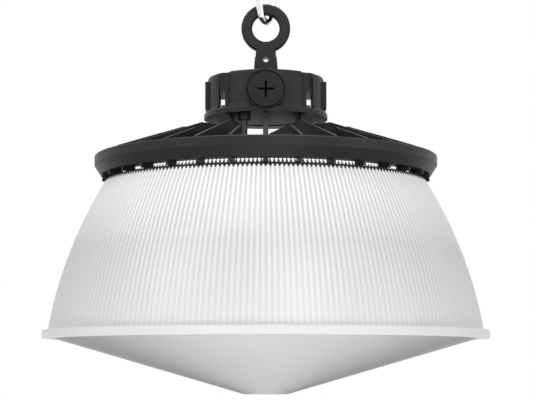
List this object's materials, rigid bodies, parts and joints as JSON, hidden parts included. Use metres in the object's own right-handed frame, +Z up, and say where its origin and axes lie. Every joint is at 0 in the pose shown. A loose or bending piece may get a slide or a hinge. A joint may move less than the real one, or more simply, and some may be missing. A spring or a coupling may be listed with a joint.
{
  "type": "high bay light",
  "caption": "Round industrial high bay light: fluted bell refractor with a drop lens, finned heat sink, round driver housing and a hanging eye with a link.",
  "frame": {"origin": "inside top of the hanging link, where the light is hung", "axes": "+Z up through the light's axis, -Y towards the sensor port, +Y towards the mains gland"},
  "size_m": [0.41, 0.419, 0.4119],
  "materials": {
    "black_casting": "satin black powder coat over die-cast aluminium",
    "black_hardware": "black oxide screws and nuts",
    "chrome_link": "bright plated steel bar",
    "clear_fluted": "clear polycarbonate with upright flutes, looks pale grey and white",
    "opal_lens": "satin polycarbonate",
    "white_band": "gloss white",
    "zinc_screw": "bright zinc",
    "seal_rubber": "matt black silicone",
    "foam_seal": "pale foam",
    "light_board": "white solder mask on aluminium",
    "light_chip": "yellow phosphor",
    "window_clear": "clear polycarbonate",
    "black_plastic": "black nylon",
    "board_green": "green solder mask",
    "winding": "taped winding",
    "can_sleeve": "shrink sleeve",
    "terminal": "moulded terminal block",
    "lead_sheath": "brown-black rubber sheath"
  },
  "bodies": {
    "root": {"drop_lens": "opal_lens", "closing_band": "white_band", "band_screw": "zinc_screw", "band_nut": "zinc_screw", "lens_seal": "foam_seal", "reflector": "clear_fluted", "heat_sink": "black_casting", "light_board": "light_board", "light_chips": "light_chip", "led_window": "window_clear", "window_gasket": "seal_rubber", "window_screws": "zinc_screw", "reflector_screws": "zinc_screw", "driver_floor": "black_casting", "housing_gasket": "seal_rubber", "driver_cover": "black_casting", "housing_screws": "black_hardware", "sensor_port_plug": "black_plastic", "port_seal": "seal_rubber", "board_standoffs": "zinc_screw", "driver_board": "board_green", "transformer": "winding", "capacitors": "can_sleeve", "terminal_block": "terminal", "lead_gland": "black_plastic", "lamp_lead": "lead_sheath", "inlet_gland": "black_plastic", "inlet_gland_nut": "black_plastic", "inlet_gland_seal": "seal_rubber", "hook_eye": "black_casting", "eye_washer": "zinc_screw", "eye_nut": "zinc_screw", "hang_link": "chrome_link"}
  },
  "joints": []
}
